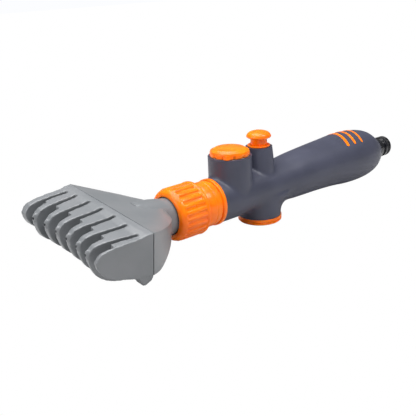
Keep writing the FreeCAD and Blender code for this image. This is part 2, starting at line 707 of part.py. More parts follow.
def make_comb():
    """Comb of two end plates and six hollow teeth, each with a jet at its nose."""
    comb = doc.addObject("PartDesign::Body", "comb_body")
    centre = Placement(Vector(value("fan_x"), 0, 0), Rotation())
    profile = draw(comb, "comb_profile", "XZ_Plane", [
        ("comb_back", "19.7"), ("241", "19.5"), ("236", "18.3"), ("231", "17.8"),
        ("220.6", "16.8"), ("214.9", "15.3"), ("212.6", "13.2"), ("jet_nose", "jet_z"),
        ("211.3", "5.5"), ("213", "0.8"), ("215", "-3"), ("218", "-5.9"),
        ("221.6", "-8.1"), ("225.4", "-9.4"), ("230", "-10.2"), ("238", "-10.2"),
        ("comb_back", "-9"),
    ], centre)
    block = comb.newObject("PartDesign::Revolution", "comb_block")
    block.Profile = profile
    block.ReferenceAxis = (profile, ["V_Axis"])
    block.Midplane = True
    bind(block, Angle="2 * comb_spread")
    for side, sign in (("left", 1), ("right", -1)):
        turn = Placement(Vector(value("fan_x"), 0, 0),
                         Rotation(Vector(0, 1, 0), sign * value("plate_start")))
        belly = draw(comb, f"plate_{side}_belly", "XZ_Plane", [
            ("jet_nose - 4", "jet_z"), ("jet_nose", "jet_z"), ("212", "6.4"), ("214.4", "2.4"),
            ("218", "-1.1"), ("224.5", "-3.9"), ("230.4", "-5.5"), ("237", "-7.5"),
            ("comb_back + 4", "-8.2"), ("comb_back + 4", "-16"), ("jet_nose - 4", "-16")], turn)
        relief = comb.newObject("PartDesign::Groove", f"plate_{side}_relief")
        relief.Profile = belly
        relief.ReferenceAxis = (belly, ["V_Axis"])
        relief.Reversed = sign < 0
        bind(relief, Angle="comb_spread - plate_start + 1")
    back = draw(comb, "comb_back_outline", "XY_Plane", [
        ("seam", "-comb_half - 20"), ("seam + 30", "-comb_half - 20"),
        ("seam + 30", "comb_half + 20"), ("seam", "comb_half + 20")])
    square = comb.newObject("PartDesign::Pocket", "comb_back_trim")
    square.Profile = back
    square.SideType = "Symmetric"
    square.Length = 80
    top = draw(comb, "comb_top_outline", "XZ_Plane", [
        ("seam + 1", "19.6"), ("seam + 1", "25"), ("comb_nose - 6", "25"),
        ("comb_nose - 6", "16.9"), ("-161", "16.9"), ("-150", "17.8"), ("-142.3", "18.1"),
        ("-137.3", "19.3")])
    slope = comb.newObject("PartDesign::Pocket", "comb_top_trim")
    slope.Profile = top
    slope.SideType = "Symmetric"
    slope.Length = 110
    corner = ("comb_nose - 6", "comb_nose_half - 0.2")
    for side, sign in (("left", ""), ("right", "-")):
        wedge = draw(comb, f"comb_{side}_taper", "XY_Plane", [
            ("seam + 1", f"{sign}(comb_half)"), (corner[0], f"{sign}({corner[1]})"),
            (corner[0], f"{sign}(comb_half + 20)"), ("seam + 1", f"{sign}(comb_half + 20)")])
        trim = comb.newObject("PartDesign::Pocket", f"comb_{side}_trim")
        trim.Profile = wedge
        trim.SideType = "Symmetric"
        trim.Length = 80
    fan = Placement(Vector(value("fan_x"), 0, 0), Rotation(Vector(0, 0, 1), -3 * value("fan_pitch")))
    gap = draw(comb, "gap_outline", "XY_Plane", [
        polar("0.59", "gap_root"), polar("1.4", "gap_mouth"), polar("-1.11", "gap_mouth"),
        polar("-1.11", "gap_step"), polar("-0.01", "gap_step"), polar("-0.01", "gap_root"),
    ], fan)
    slit = comb.newObject("PartDesign::Pocket", "gap")
    slit.Profile = gap
    slit.SideType = "Symmetric"
    slit.Length = 80
    gaps = comb.newObject("PartDesign::PolarPattern", "gaps")
    gaps.Originals = [slit]
    gaps.Axis = (gap, ["N_Axis"])
    bind(gaps, Angle="5 * fan_pitch")
    gaps.Occurrences = 6
    comb.Tip = gaps
    edge_fan = Placement(Vector(value("fan_x"), 0, 0), Rotation())
    edge_gap = draw(comb, "edge_gap_outline", "XY_Plane", [
        polar("9.46", "gap_root"), polar("11.4", "gap_mouth"), polar("8.79", "gap_mouth"),
        polar("8.79", "gap_step"), polar("9.4", "gap_step"), polar("8.86", "gap_root"),
    ], edge_fan)
    edge_slit = comb.newObject("PartDesign::Pocket", "edge_gap")
    edge_slit.Profile = edge_gap
    edge_slit.SideType = "Symmetric"
    edge_slit.Length = 80
    jets = Placement(Vector(value("fan_x"), 0, value("jet_z")),
                     Rotation(Vector(0, 0, 1), -2.5 * value("fan_pitch")))
    bore = draw(comb, "jet_outline", "XY_Plane", [
        ("jet_nose - 8", "0"), ("gap_root + 10", "0"), ("gap_root + 10", "jet_rad"),
        ("jet_nose - 8", "jet_rad")], jets)
    jet = comb.newObject("PartDesign::Groove", "jet")
    jet.Profile = bore
    jet.ReferenceAxis = (bore, ["H_Axis"])
    jet.Angle = 360
    row = comb.newObject("PartDesign::PolarPattern", "jet_row")
    row.Originals = [jet]
    row.Axis = (bore, ["N_Axis"])
    bind(row, Angle="5 * fan_pitch")
    row.Occurrences = 6
    comb.Tip = row
    for side, sign in (("left", 1), ("right", -1)):
        place = Placement(Vector(0, 0, -sign * value("comb_half - 0.6 - lip_wide / 2")), Rotation())
        foot = draw(comb, f"lip_{side}_outline", "XZ_Plane", [
            ("-144.5", "-6"), ("-140.4", "-13.4"), ("-135.4", "-12.2"), ("seam", "-8.4"),
            ("seam", "-6")], place)
        lip = comb.newObject("PartDesign::Pad", f"lip_{side}")
        lip.Profile = foot
        lip.SideType = "Symmetric"
        bind(lip, Length="lip_wide")
    keep(comb, "comb", HEAD)


def make_inlet():
    """Push-fit hose inlet with its ring seal and screen."""
    keep(turned("inlet_body", "X", [
        ("tail_plug - 6", "pipe_rad"),
        ("tail_plug - 6", "pipe_rad + 2"),
        ("tail_plug - 3", "pipe_rad + 2"),
        ("tail_plug - 3", "inlet_rad + 2"),
        ("tail_plug", "inlet_rad + 2"),
        ("tail_plug", "inlet_rad - 0.2"),
        ("reach - 14.5", "inlet_rad - 0.2"),
        ("reach - 14.5", "inlet_rad"),
        ("reach - 10", "inlet_rad"),
        ("reach - 10", "inlet_rad - 1.3"),
        ("reach - 7.8", "inlet_rad - 1.3"),
        ("reach - 7.8", "inlet_rad"),
        ("reach - 4.8", "inlet_rad"),
        ("reach - 4.8", "inlet_rad - 1.6"),
        ("reach - 2.9", "inlet_rad - 1.6"),
        ("reach - 2.9", "inlet_rad"),
        ("reach", "inlet_rad"),
        ("reach", "inlet_bore"),
        ("reach - 16", "inlet_bore"),
        ("reach - 16", "inlet_bore - 0.7"),
        ("tail_plug", "inlet_bore - 0.7"),
        ("tail_plug", "pipe_rad"),
    ]), "hose_inlet", HANDLE)
    seal = ring("inlet_ring_body", "X", "reach - 3.85", "inlet_rad - 0.8", "0.8")
    keep(grouped("inlet_ring_only", seal), "inlet_ring", HANDLE)
    mesh = turned("screen_body", "X", [
        ("reach - 16", "0"), ("reach - 16", "inlet_bore"), ("reach - 15.2", "inlet_bore"),
        ("reach - 15.2", "0")])
    keep(mesh, "inlet_screen", HANDLE)


make_handle()
make_waterway()
make_valve()
make_soap()
make_coupling()
make_manifold()
make_comb()
make_inlet()
doc.recompute()

for item in doc.Objects:
    if {"Invalid", "Error"} & set(item.State):
        raise RuntimeError(f"{item.Label} did not recompute: {item.State}")
    if item.TypeId in ("PartDesign::Pocket", "PartDesign::Groove"):
        removed = item.BaseFeature.Shape.Volume - item.Shape.Volume
        if removed < LEAST_CUT:
            raise RuntimeError(f"{item.Label} took away only {removed:.3f} mm3")
for item in subparts:
    if item.Shape.isNull() or not item.Shape.isValid():
        raise RuntimeError(f"{item.Label} has no valid shape")
for item in subparts:
    item.Shape.exportStep(f"parts/{item.Label}.step")
    print(item.Label, len(item.Shape.Solids), round(item.Shape.Volume, 1), item.Shape.BoundBox)
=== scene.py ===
"""Looks of a hose-fed bath wand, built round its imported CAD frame.

Sizes in the classes are millimetres measured from the valve's axis, as a maker would
mark them on the wand. X runs along the wand from the comb to the hose inlet and Z is up.
The workshop functions turn them into metres in the frame's own axes.
"""
import logging
import math
from collections.abc import Callable, Sequence
from dataclasses import dataclass, field
from enum import Enum

import bpy
from mathutils import Matrix, Vector


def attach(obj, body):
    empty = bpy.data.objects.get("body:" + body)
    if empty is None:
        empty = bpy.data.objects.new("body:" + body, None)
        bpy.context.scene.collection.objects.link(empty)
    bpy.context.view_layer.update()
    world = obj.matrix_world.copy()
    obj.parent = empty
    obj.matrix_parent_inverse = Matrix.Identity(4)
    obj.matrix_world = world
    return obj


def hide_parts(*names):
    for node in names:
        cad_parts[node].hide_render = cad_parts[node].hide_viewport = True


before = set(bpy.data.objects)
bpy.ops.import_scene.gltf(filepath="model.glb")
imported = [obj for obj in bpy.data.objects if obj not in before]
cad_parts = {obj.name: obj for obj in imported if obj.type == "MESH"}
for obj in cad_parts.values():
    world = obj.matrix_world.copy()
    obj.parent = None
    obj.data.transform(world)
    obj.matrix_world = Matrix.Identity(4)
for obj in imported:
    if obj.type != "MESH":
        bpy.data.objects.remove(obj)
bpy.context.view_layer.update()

MM = 0.001
VALVE_X = -157.0               # the valve's axis, from the inlet's end face
HEAD_CLOCK = math.radians(6.2)  # how far the head is turned on the wand
log = logging.getLogger("bath_wand")

Point = tuple[float, float, float]


class Axis(Enum):
    """Direction that a turned piece or a rod lies along."""

    X = Vector((1, 0, 0))
    Y = Vector((0, 1, 0))
    Z = Vector((0, 0, 1))


def at(along: float, across: float = 0.0, up: float = 0.0) -> Vector:
    """Return a point of the wand, given in millimetres from the valve, in metres."""
    return Vector((along + VALVE_X, across, up)) * MM


# ---------------------------------------------------------------- workshop

def take(piece: bpy.types.Object) -> bpy.types.Object:
    """Select one object alone and make it active."""
    if bpy.context.object and bpy.context.object.mode != "OBJECT":
        bpy.ops.object.mode_set(mode="OBJECT")
    bpy.ops.object.select_all(action="DESELECT")
    piece.select_set(True)
    bpy.context.view_layer.objects.active = piece
    return piece


def edit(piece: bpy.types.Object) -> None:
    """Open an object's mesh for editing with all of it selected."""
    take(piece)
    bpy.ops.object.mode_set(mode="EDIT")
    bpy.ops.mesh.select_mode(type="VERT")
    bpy.ops.mesh.select_all(action="SELECT")


def settle(piece: bpy.types.Object, name: str) -> bpy.types.Object:
    """Name a piece and move its place into its mesh."""
    take(piece)
    bpy.ops.object.transform_apply(location=True, rotation=True, scale=True)
    piece.name = piece.data.name = name
    return piece


def pick(piece: bpy.types.Object, wanted: Callable[[Vector], bool]) -> int:
    """Select the vertices, edges and faces that lie wholly where they are wanted.

    Args:
        piece: The object whose mesh is picked from.
        wanted: Says whether a vertex, in millimetres from the valve, is wanted.

    Returns:
        How many vertices were picked.
    """
    take(piece)
    mesh = piece.data
    chosen = {
        vertex.index for vertex in mesh.vertices
        if wanted(vertex.co / MM - Vector((VALVE_X, 0, 0)))
    }
    for vertex in mesh.vertices:
        vertex.select = vertex.index in chosen
    for edge in mesh.edges:
        edge.select = all(index in chosen for index in edge.vertices)
    for face in mesh.polygons:
        face.select = all(index in chosen for index in face.vertices)
    bpy.ops.object.mode_set(mode="EDIT")
    return len(chosen)


def shape(piece: bpy.types.Object, kind: str, **settings: object) -> bpy.types.Object:
    """Add a modifier, set it up and apply it."""
    take(piece)
    modifier = piece.modifiers.new(kind.title(), kind)
    for setting, chosen in settings.items():
        setattr(modifier, setting, chosen)
    bpy.ops.object.modifier_apply(modifier=modifier.name)
    return piece


def combine(pieces: Sequence[bpy.types.Object], name: str) -> bpy.types.Object:
    """Join several meshes into one object."""
    take(pieces[0])
    for piece in pieces[1:]:
        piece.select_set(True)
    bpy.ops.object.join()
    return settle(pieces[0], name)


def carve(piece: bpy.types.Object, tool: bpy.types.Object, keep_both: bool = False) -> None:
    """Cut a piece with a tool, or fuse them, and throw the tool away.

    Args:
        piece: The object that is cut.
        tool: The closed mesh that cuts it.
        keep_both: Fuses the two instead.
    """
    shape(piece, "BOOLEAN", object=tool, solver="EXACT",
          operation="UNION" if keep_both else "DIFFERENCE")
    bpy.data.objects.remove(tool)


def trim(piece: bpy.types.Object, through: Vector, away: Vector, fill: bool,
         wanted: Callable[[Vector], bool]) -> None:
    """Saw off what lies past a plane.

    Args:
        piece: The object that is sawn.
        through: A point of the plane, in metres.
        away: The direction of what is thrown away.
        fill: Closes the cut with a face.
        wanted: Picks the region that the saw reaches.
    """
    pick(piece, wanted)
    bpy.ops.mesh.bisect(plane_co=through, plane_no=away, use_fill=fill, clear_outer=True)
    bpy.ops.object.mode_set(mode="OBJECT")


def rod(centre: Vector, radius: float, length: float, axis: Axis = Axis.Z,
        sides: int = 64, tip: float | None = None) -> bpy.types.Object:
    """Return a round bar, or a taper where the tip has its own radius.

    Args:
        centre: The middle of the bar, in metres.
        radius: Its radius in millimetres.
        length: Its length in millimetres.
        axis: The direction that it lies along.
        sides: How many flats it is made of.
        tip: The radius of its far end in millimetres.

    Returns:
        The bar, with its place in its mesh.
    """
    bpy.ops.object.select_all(action="DESELECT")
    turn = Vector((0, 0, 1)).rotation_difference(axis.value).to_euler()
    bpy.ops.mesh.primitive_cone_add(
        vertices=sides, radius1=radius * MM, radius2=(radius if tip is None else tip) * MM,
        depth=length * MM, location=centre, rotation=turn)
    return settle(bpy.context.object, "bar")


def outline(points: Sequence[Vector], closed: bool = True) -> bpy.types.Object:
    """Draw a chain of edges from point to point, starting from a plane shrunk to a dot.

    Args:
        points: The chain's points in metres.
        closed: Joins the last point to the first.

    Returns:
        The chain, left open in edit mode with all of it selected.
    """
    bpy.ops.object.select_all(action="DESELECT")
    bpy.ops.mesh.primitive_plane_add(size=MM, location=points[0])
    chain = settle(bpy.context.object, "chain")
    edit(chain)
    bpy.ops.mesh.merge(type="CENTER")
    here = points[0]
    for point in [*points[1:], *(points[:1] if closed else [])]:
        bpy.ops.mesh.extrude_region_move(TRANSFORM_OT_translate={"value": point - here})
        here = point
    bpy.ops.mesh.select_all(action="SELECT")
    bpy.ops.mesh.remove_doubles(threshold=MM / 500)
    return chain


def lathe(name: str, rings: Sequence[tuple[float, float]], axis: Axis, along: float = 0.0,
          steps: int = 112) -> bpy.types.Object:
    """Turn a closed outline about X or Z.

    Args:
        name: The piece's name.
        rings: The outline's corners, as distance along the axis and radius.
        axis: The axis it is turned about.
        along: Where an upright axis stands along the wand.
        steps: How many flats the turn has.

    Returns:
        The turned piece.
    """
    if axis is Axis.X:
        points = [at(place, 0, radius) for place, radius in rings]
        hub = at(0)
    else:
        points = [at(along + radius, 0, place) for place, radius in rings]
        hub = at(along)
    piece = outline(points)
    bpy.ops.mesh.spin(steps=steps, angle=2 * math.pi, center=hub, axis=axis.value)
    bpy.ops.mesh.select_all(action="SELECT")
    bpy.ops.mesh.remove_doubles(threshold=MM / 200)
    bpy.ops.mesh.normals_make_consistent(inside=False)
    bpy.ops.object.mode_set(mode="OBJECT")
    return settle(piece, name)


def prism(points: Sequence[Vector], sweep: Vector) -> bpy.types.Object:
    """Return a flat outline drawn out into a closed solid."""
    piece = outline(points)
    bpy.ops.mesh.edge_face_add()
    bpy.ops.mesh.extrude_region_move(TRANSFORM_OT_translate={"value": sweep})
    bpy.ops.mesh.select_all(action="SELECT")
    bpy.ops.mesh.normals_make_consistent(inside=False)
    bpy.ops.object.mode_set(mode="OBJECT")
    return piece


def soften(piece: bpy.types.Object, width: float, segments: int = 3,
           angle: float = 32.0) -> bpy.types.Object:
    """Round a piece's sharp edges by a width in millimetres."""
    return shape(piece, "BEVEL", width=width * MM, segments=segments, limit_method="ANGLE",
                 angle_limit=math.radians(angle), harden_normals=False,
                 use_clamp_overlap=True)


def fluent(stations: Sequence[tuple[float, ...]], parts: int) -> list[tuple[float, ...]]:
    """Draw a smooth curve through stations, as a bent lath would run.

    Args:
        stations: The numbers that the curve passes through.
        parts: How many steps each gap is divided into.

    Returns:
        The stations with steps between them.
    """
    padded = [stations[0], *stations, stations[-1]]
    curve = []
    for before, start, end, after in zip(padded, padded[1:], padded[2:], padded[3:]):
        for part in range(parts):
            t = part / parts
            curve.append(tuple(
                0.5 * (2 * b + (c - a) * t + (2 * a - 5 * b + 4 * c - d) * t ** 2
                       + (3 * b - a - 3 * c + d) * t ** 3)
                for a, b, c, d in zip(before, start, end, after)))
    return [*curve, tuple(stations[-1])]


# ---------------------------------------------------------------- finishes

def linear(code: str) -> tuple[float, float, float, float]:
    """Turn an sRGB hex value into linear colour."""
    parts = [int(code[place:place + 2], 16) / 255 for place in (1, 3, 5)]
    red, green, blue = (
        part / 12.92 if part <= 0.04045 else ((part + 0.055) / 1.055) ** 2.4 for part in parts)
    return red, green, blue, 1.0


def add(tree: bpy.types.NodeTree, kind: str, settings: dict[str, object] | None = None,
        **sockets: object) -> bpy.types.Node:
    """Add a node, set it up and link it.

    Args:
        tree: The node tree.
        kind: The node's type.
        settings: Its properties.
        sockets: Its inputs by name, with _ for a space, or by position as in_0. A socket is
            linked and anything else is set.

    Returns:
        The node.
    """
    node = tree.nodes.new(kind)
    for setting, chosen in (settings or {}).items():
        setattr(node, setting, chosen)
    for label, given in sockets.items():
        key = int(label[3:]) if label.startswith("in_") else label.replace("_", " ")
        if isinstance(given, bpy.types.NodeSocket):
            tree.links.new(given, node.inputs[key])
        else:
            node.inputs[key].default_value = given
    return node


@dataclass(frozen=True)
class Finish:
    """A material as it is made: its colours, gloss and the texture left by its making."""

    name: str
    colour: str
    shade: str                 # the colour it drifts towards from place to place
    roughness: float
    patch_mm: float            # size of the drift's patches
    grain_mm: float            # spacing of the surface's texture
    relief_mm: float           # depth of that texture
    stretch: Point = (1.0, 1.0, 1.0)
    gloss_drift: float = 0.06  # how much the roughness varies
    metallic: float = 0.0
    ior: float = 1.5
    coat: float = 0.0
    coat_roughness: float = 0.1
    scatter_mm: float = 0.0    # how far light spreads inside it
    woven: bool = False

    def made(self) -> bpy.types.Material:
        """Return the material, making it the first time it is asked for."""
        found = bpy.data.materials.get(self.name)
        if found:
            return found
        material = bpy.data.materials.new(self.name)
        material.use_nodes = True
        tree = material.node_tree
        tree.nodes.clear()
        place = add(tree, "ShaderNodeTexCoord").outputs["Object"]
        laid = add(tree, "ShaderNodeMapping", Vector=place, Scale=self.stretch)
        grain = self.weave(tree, laid) if self.woven else self.texture(tree, laid)
        patches = add(tree, "ShaderNodeTexNoise", Vector=place,
                      Scale=1 / (self.patch_mm * MM), Detail=3.0)
        drift = add(tree, "ShaderNodeMapRange", Value=patches.outputs["Fac"],
                    From_Min=0.35, From_Max=0.65)
        tint = add(tree, "ShaderNodeMix", {"data_type": "RGBA"},
                   in_0=drift.outputs["Result"], in_6=linear(self.colour),
                   in_7=linear(self.shade))
        sheen = add(tree, "ShaderNodeMapRange", Value=patches.outputs["Fac"],
                    To_Min=max(self.roughness - self.gloss_drift, 0.03),
                    To_Max=min(self.roughness + self.gloss_drift, 1.0))
        bump = add(tree, "ShaderNodeBump", Height=grain, Strength=0.6,
                   Distance=self.relief_mm * MM)
        shader = add(tree, "ShaderNodeBsdfPrincipled", Base_Color=tint.outputs[2],
                     Roughness=sheen.outputs["Result"], Normal=bump.outputs["Normal"],
                     Metallic=self.metallic, Coat_Weight=self.coat,
                     Coat_Roughness=self.coat_roughness)
        if not self.metallic:
            shader.inputs["IOR"].default_value = self.ior
        if self.scatter_mm:
            shader.inputs["Subsurface Weight"].default_value = 0.25
            shader.inputs["Subsurface Scale"].default_value = self.scatter_mm * MM
        add(tree, "ShaderNodeOutputMaterial", Surface=shader.outputs["BSDF"])
        return material

    def texture(self, tree: bpy.types.NodeTree, laid: bpy.types.Node) -> bpy.types.NodeSocket:
        """Return the height of an etched or moulded surface: pits with a finer grit."""
        pits = add(tree, "ShaderNodeTexVoronoi", {"feature": "SMOOTH_F1"},
                   Vector=laid.outputs["Vector"], Scale=1 / (self.grain_mm * MM))
        grit = add(tree, "ShaderNodeTexNoise", Vector=laid.outputs["Vector"],
                   Scale=2.3 / (self.grain_mm * MM), Detail=2.0)
        return add(tree, "ShaderNodeMath", {"operation": "ADD"}, in_0=pits.outputs["Distance"],
                   in_1=grit.outputs["Fac"]).outputs["Value"]

    def weave(self, tree: bpy.types.NodeTree, laid: bpy.types.Node) -> bpy.types.NodeSocket:
        """Return the height of a plain wire weave across the wand."""
        wires = [
            add(tree, "ShaderNodeTexWave", {"bands_direction": way},
                Vector=laid.outputs["Vector"], Scale=0.314 / (self.grain_mm * MM))
            for way in ("Y", "Z")
        ]
        return add(tree, "ShaderNodeMath", {"operation": "MAXIMUM"},
                   in_0=wires[0].outputs["Fac"], in_1=wires[1].outputs["Fac"]).outputs["Value"]


# Thermoplastic elastomer overmoulded in a spark-eroded tool: a dull skin with a broad soft
# highlight and a fine stipple that is only seen in that highlight.
SOFT_TOUCH = Finish("soft_touch_elastomer_spark_eroded", "#3A3C4B", "#414353", 0.43, 22.0,
                    0.55, 0.028, ior=1.47, gloss_drift=0.04)
# ABS moulded in a polished tool: saturated, with a soft gloss, light glowing a little in the
# thin ribs and faint flow marks along the wand.
ORANGE_ABS = Finish("orange_abs_polished_moulding", "#FF8000", "#FA7000", 0.3, 14.0, 1.2,
                    0.004, (0.4, 1.0, 1.0), ior=1.38, coat=0.06, scatter_mm=1.2)
# ABS moulded in a fine satin tool: even mid grey with a soft sheen on its flats.
GREY_ABS = Finish("grey_abs_satin_moulding", "#77797C", "#6F7275", 0.34, 26.0, 0.8, 0.014,
                  ior=1.53, gloss_drift=0.05)
# Acetal turned and polished: near black with a sharp highlight.
BLACK_ACETAL = Finish("black_acetal_polished", "#121317", "#191A1F", 0.16, 9.0, 0.9, 0.006,
                      ior=1.48, gloss_drift=0.04)
# Glass-filled nylon: milky off-white with a dry, slightly fibrous surface.
NYLON = Finish("glass_filled_nylon_moulding", "#B9B7AE", "#A8A69C", 0.55, 12.0, 0.7, 0.03,
               (0.35, 1.0, 1.0), ior=1.53)
# EPDM rubber, compression moulded: black and matt with a faint bloom.
SEAL_RUBBER = Finish("epdm_rubber_compression_moulded", "#17181A", "#242527", 0.7, 5.0, 0.4,
                     0.02, ior=1.5)
# Stainless steel wire, cold drawn: a bright metal with fine lines along the draw.
DRAWN_WIRE = Finish("stainless_wire_cold_drawn", "#B5B7B8", "#A1A3A4", 0.28, 3.0, 0.35,
                    0.008, (1.0, 1.0, 4.0), metallic=1.0)
# Stainless gauze, plain woven, 0.6 mm pitch: drawn as relief on a disc.
WIRE_GAUZE = Finish("stainless_gauze_plain_woven", "#A9ABAC", "#8C8E8F", 0.35, 3.0, 0.6,
                    0.12, metallic=1.0, woven=True)


def dress(piece: bpy.types.Object, finish: Finish) -> None:
    """Give every slot of a piece one finish."""
    piece.data.materials.clear()
    piece.data.materials.append(finish.made())


def fit(piece: bpy.types.Object, finish: Finish, body: str, slot: str, *nodes: str) -> None:
    """Finish a new piece and put it in place of its CAD nodes.

    Args:
        piece: The modelled piece.
        finish: Its material.
        body: The CAD body that it moves with.
        slot: The record's slot for its finish; not used.
        nodes: The CAD nodes that it stands for.
    """
    take(piece)
    bpy.ops.object.shade_smooth_by_angle(angle=math.radians(34))
    dress(piece, finish)
    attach(piece, body)
    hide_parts(*nodes)
    log.info("%s: %d faces on %s", piece.name, len(piece.data.polygons), body)


# ---------------------------------------------------------------- sub-assemblies

@dataclass
class Handle:
    """Soft skin over the grip, both turrets and the bulge, and its three stripes."""

    stations: tuple[Point, ...] = (
        (-52.0, 16.2, 0.0), (-30.0, 16.2, 0.0), (-12.0, 16.2, 0.0), (4.0, 16.2, 0.0),
        (20.0, 16.7, 0.1), (36.0, 17.8, 0.8), (55.0, 18.7, 1.5), (75.0, 19.8, 1.8),
        (95.0, 21.3, 1.5), (112.0, 20.9, 1.1), (124.0, 18.9, 0.7), (131.5, 15.7, 0.0),
        (137.0, 12.3, -0.3), (139.5, 9.6, 0.0),
    )
    front: float = -47.9
    turret_x: float = -29.2
    turret_radius: float = 15.7
    turret_top: float = 30.0
    tower_start: float = 8.0
    tower_foot: float = 12.3
    tower_radius: float = 9.85
    tower_top: float = 31.0
    bulge_radius: float = 15.95
    bulge_low: float = -21.6
    flare: tuple[tuple[float, ...], ...] = (
        # along, middle's height, lower radius, length, upper radius
        (8.0, -15.5, 8.6, 7.4, 14.4), (9.0, -8.0, 14.2, 8.0, 19.5))
    spare: float = 3.0         # what is sawn off each open end
    skin: float = 1.8
    inlet_hole: float = 8.75
    grid: float = 0.95         # spacing of the skin's mesh
    stripes: tuple[tuple[str, float, float], ...] = (
        ("front", 90.6, 2.7), ("middle", 99.05, 2.4), ("rear", 108.0, 2.1))
    stripe_spread: float = 47.5
    stripe_proud: float = 0.2
    stripe_depth: float = 0.9
    stripe_slant: float = 12.4

    def barrel(self) -> bpy.types.Object:
        """Draw the grip out, circle by circle."""
        rings = fluent(self.stations, 7)
        along, radius, height = rings[0]
        bpy.ops.object.select_all(action="DESELECT")
        bpy.ops.mesh.primitive_circle_add(
            vertices=96, radius=radius * MM, fill_type="NGON", location=at(along, 0, height),
            rotation=(0, math.radians(90), 0))
        piece = settle(bpy.context.object, "barrel")
        edit(piece)
        for (x, r, z), (next_x, next_r, next_z) in zip(rings, rings[1:]):
            bpy.ops.mesh.extrude_region_move(TRANSFORM_OT_translate={
                "value": Vector((next_x - x, 0, next_z - z)) * MM})
            bpy.ops.transform.resize(value=(1, next_r / r, next_r / r),
                                     center_override=at(next_x, 0, next_z))
        bpy.ops.mesh.select_all(action="SELECT")
        bpy.ops.mesh.normals_make_consistent(inside=False)
        bpy.ops.object.mode_set(mode="OBJECT")
        return piece

    def blend(self, piece: bpy.types.Object, turns: int,
              weight: Callable[[Vector], float]) -> None:
        """Rub down the joins of one region.

        Args:
            piece: The skin.
            turns: How many passes are made.
            weight: How hard each vertex is rubbed, from 0 to 1.
        """
        group = piece.vertex_groups.new(name="rub")
        for vertex in piece.data.vertices:
            share = weight(vertex.co / MM - Vector((VALVE_X, 0, 0)))
            if share > 0:
                group.add([vertex.index], min(share, 1.0), "REPLACE")
        shape(piece, "SMOOTH", factor=0.5, iterations=turns, vertex_group=group.name)
        piece.vertex_groups.remove(piece.vertex_groups[0])

    def posts(self) -> list[bpy.types.Object]:
        """Return the two turrets, the bulge and the flare behind it, over-long at their ends."""
        spare = self.spare
        tower = self.tower_top + spare - self.tower_start
        slope = (self.tower_foot - self.tower_radius) / (self.tower_top - self.tower_start)
        turret = self.turret_top + spare
        return [
            rod(at(self.turret_x, 0, turret / 2), self.turret_radius, turret, sides=128),
            rod(at(0, 0, self.tower_start + tower / 2), self.tower_foot, tower, sides=96,
                tip=self.tower_radius - slope * spare),
            rod(at(0, 0, (self.bulge_low - spare) / 2), self.bulge_radius,
                spare - self.bulge_low, sides=128),
            *[rod(at(along, 0, middle), radius, length, sides=96, tip=tip)
              for along, middle, radius, length, tip in self.flare],
        ]

    def form(self) -> bpy.types.Object:
        """Fuse the grip, turrets and bulge into one skin with rubbed joins."""
        skin = combine([self.barrel(), *self.posts()], "grip_overmould")
        shape(skin, "REMESH", mode="VOXEL", voxel_size=self.grid * MM)
        rims = self.turret_top - 4
        self.blend(skin, 3, lambda spot: 1.0 if abs(spot.z) < rims else 0.0)
        self.blend(skin, 8, lambda spot: 1.0 - abs(
            math.hypot(spot.x - self.turret_x, spot.y) - self.turret_radius) / 4
            if 1 < spot.z < 24 else 0.0)
        self.blend(skin, 16, lambda spot: 1.2 - abs(
            math.hypot(spot.x, spot.y) - self.tower_foot) / 5 if 9 < spot.z < 23 else 0.0)
        self.blend(skin, 160, lambda spot: 1.6 - abs(
            math.hypot(spot.x, spot.y) - self.bulge_radius - 2) / 7
            if -19 < spot.z < -3 and spot.x > -21 else 0.0)
        return skin

    def make_skin(self) -> None:
        """Open the skin's ends, give it its wall and round its rims."""
        skin = self.form()
        up, down = Vector((0, 0, 1)), Vector((0, 0, -1))
        trim(skin, at(0, 0, self.turret_top), up, False,
             lambda spot: spot.z > 24 and abs(spot.x - self.turret_x) < 17 and spot.x < -12)
        trim(skin, at(0, 0, self.tower_top), up, False,
             lambda spot: spot.z > 24 and abs(spot.x) < 11.5)
        trim(skin, at(0, 0, self.bulge_low), down, False, lambda spot: spot.z < -19.8)
        trim(skin, at(self.front), Vector((-1, 0, 0)), False, lambda spot: spot.x < -44)
        shape(skin, "SOLIDIFY", thickness=self.skin * MM, offset=-1.0, use_even_offset=True)
        carve(skin, rod(at(141), self.inlet_hole, 24, Axis.X, 96))
        soften(skin, 0.35, 2, 55)
        fit(skin, SOFT_TOUCH, "handle", "soft_grip", "grip_skin")

    def strip(self, along: float, width: float, height: float, radius: float,
              axis: Vector) -> bpy.types.Object:
        """Bend a flat strip over the grip.

        Args:
            along: Where it crosses the top.
            width: Its width.
            height: The height of the grip's middle there.
            radius: The grip's radius there.
            axis: The slanted line that it is bent about.

        Returns:
            The strip, still one face thick.
        """
        begin = math.radians(90 - self.stripe_spread)
        across = Vector((0, -math.cos(begin), math.sin(begin))) * (radius + 2) * MM
        across.rotate(Matrix.Rotation(-math.radians(self.stripe_slant), 3, "Z"))
        hub = at(along, 0, height)
        edge = axis * width / 2 * MM
        piece = outline([hub + across - edge, hub + across + edge], closed=False)
        bpy.ops.mesh.subdivide(number_cuts=5)
        bpy.ops.mesh.select_all(action="SELECT")
        bpy.ops.mesh.spin(steps=72, angle=2 * math.radians(self.stripe_spread), center=hub,
                          axis=axis)
        bpy.ops.object.mode_set(mode="OBJECT")
        return piece

